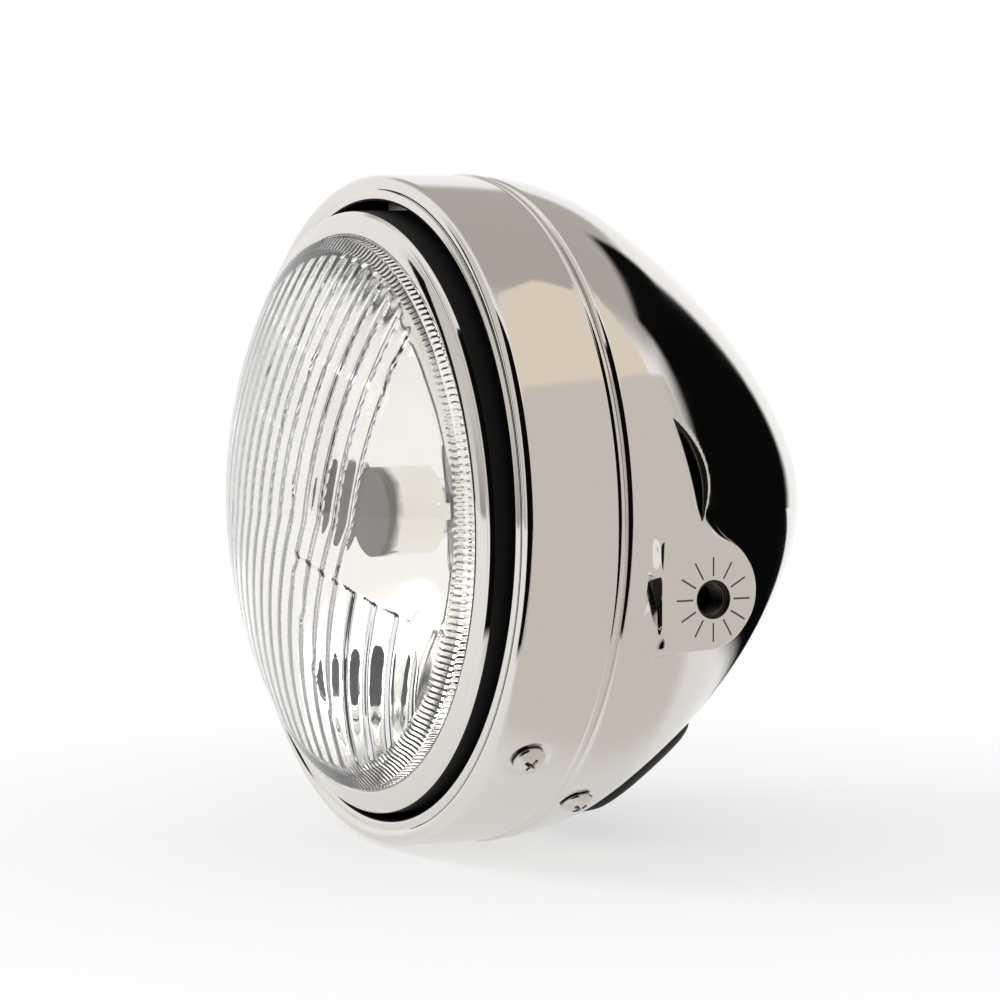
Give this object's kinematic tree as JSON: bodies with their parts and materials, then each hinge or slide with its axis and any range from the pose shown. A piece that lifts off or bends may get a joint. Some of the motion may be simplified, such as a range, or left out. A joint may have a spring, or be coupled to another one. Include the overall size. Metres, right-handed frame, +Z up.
{
  "type": "round motorcycle headlight",
  "caption": "Round chromed motorcycle headlight: deep bucket with side bolt pads, beaded rim and a tilting lamp unit with a fluted glass.",
  "frame": {"origin": "midpoint of the common axis of the two side bolts", "axes": "+Z up, the lens looks along -Y, +X to the side that the picture shows"},
  "size_m": [0.1888, 0.1538, 0.1888],
  "materials": {
    "chrome_plate": "polished",
    "pressed_glass": "clear",
    "bulb_glass": "clear",
    "aluminised_bowl": "polished",
    "zinc_steel": "satin",
    "black_rubber": "matte",
    "nylon": "matte"
  },
  "bodies": {
    "housing": {"shell": "chrome_plate", "rim": "chrome_plate", "carrier": "zinc_steel", "pivot_pins": "zinc_steel", "aim_spring": "zinc_steel", "aim_nut": "zinc_steel", "rim_screws": "chrome_plate", "rim_nuts": "zinc_steel", "shell_screws": "chrome_plate", "shell_nuts": "zinc_steel", "right_mount_nut": "zinc_steel", "left_mount_nut": "zinc_steel", "wiring_grommet": "black_rubber"},
    "lamp_unit": {"unit_ring": "chrome_plate", "lens": "pressed_glass", "lens_gasket": "black_rubber", "reflector": "aluminised_bowl", "unit_clips": "zinc_steel", "bulb_glass": "bulb_glass", "bulb_base": "zinc_steel", "bulb_clip": "zinc_steel", "bulb_shield": "zinc_steel", "dust_boot": "black_rubber", "pilot_bulb": "bulb_glass", "pilot_socket": "black_rubber", "aim_bracket": "zinc_steel", "pivot_bushes": "nylon"},
    "adjuster": {"aim_screw": "zinc_steel"}
  },
  "joints": [
    {"name": "aim_tilt", "type": "hinge", "parent": "housing", "child": "lamp_unit", "pos_m": [0, -0.0406, 0.02], "axis": [1, 0, 0], "range_deg": [-1.8, 1.8], "deforming": ["aim_spring"]},
    {"name": "aim_travel", "type": "slide", "parent": "housing", "child": "adjuster", "axis": [0, 1, 0], "range_m": [-0.0029, 0.0029]}
  ],
  "couplings": [
    {"joint": "aim_travel", "follows": "aim_tilt", "m_per_rad": -0.0876}
  ]
}
